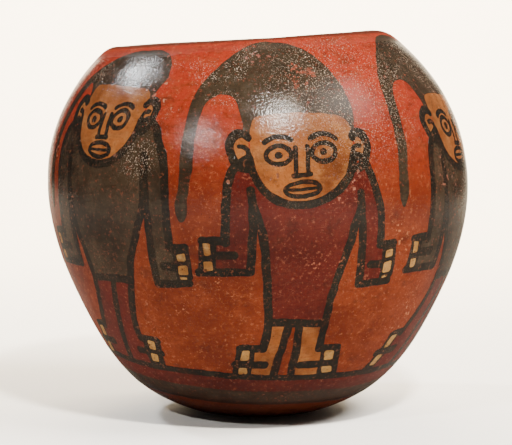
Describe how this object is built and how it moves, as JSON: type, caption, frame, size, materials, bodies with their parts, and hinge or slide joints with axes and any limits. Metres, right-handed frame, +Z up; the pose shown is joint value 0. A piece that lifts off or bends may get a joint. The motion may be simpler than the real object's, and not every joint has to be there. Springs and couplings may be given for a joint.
{
  "type": "painted clay bowl",
  "caption": "Round-bottomed, deep-bellied clay bowl with an incurved open mouth, painted outside in coloured slips with a ring of standing figures.",
  "frame": {"origin": "centre of the flat rest spot under the bowl, on the surface that it stands on", "axes": "+Z up along the bowl's axis; -Y towards the viewer of the picture; +X to that viewer's right"},
  "size_m": [0.1398, 0.1398, 0.1268],
  "materials": {
    "fired_clay": "smoothed, unglazed fired clay",
    "orange_red_slip": "burnished slip, semi-gloss, with fine pits and scratches",
    "brown_slip": "burnished slip, semi-gloss, speckled with wear",
    "maroon_slip": "burnished slip, semi-gloss",
    "ochre_slip": "burnished slip, semi-gloss",
    "cream_slip": "thin slip, worn and crazed",
    "black_slip": "brushed slip lines, semi-gloss, speckled with wear"
  },
  "bodies": {
    "root": {"clay_body": "fired_clay", "ground_slip": "orange_red_slip", "brown_slip": "brown_slip", "maroon_slip": "maroon_slip", "ochre_slip": "ochre_slip", "cream_slip": "cream_slip", "black_slip": "black_slip"}
  },
  "joints": []
}
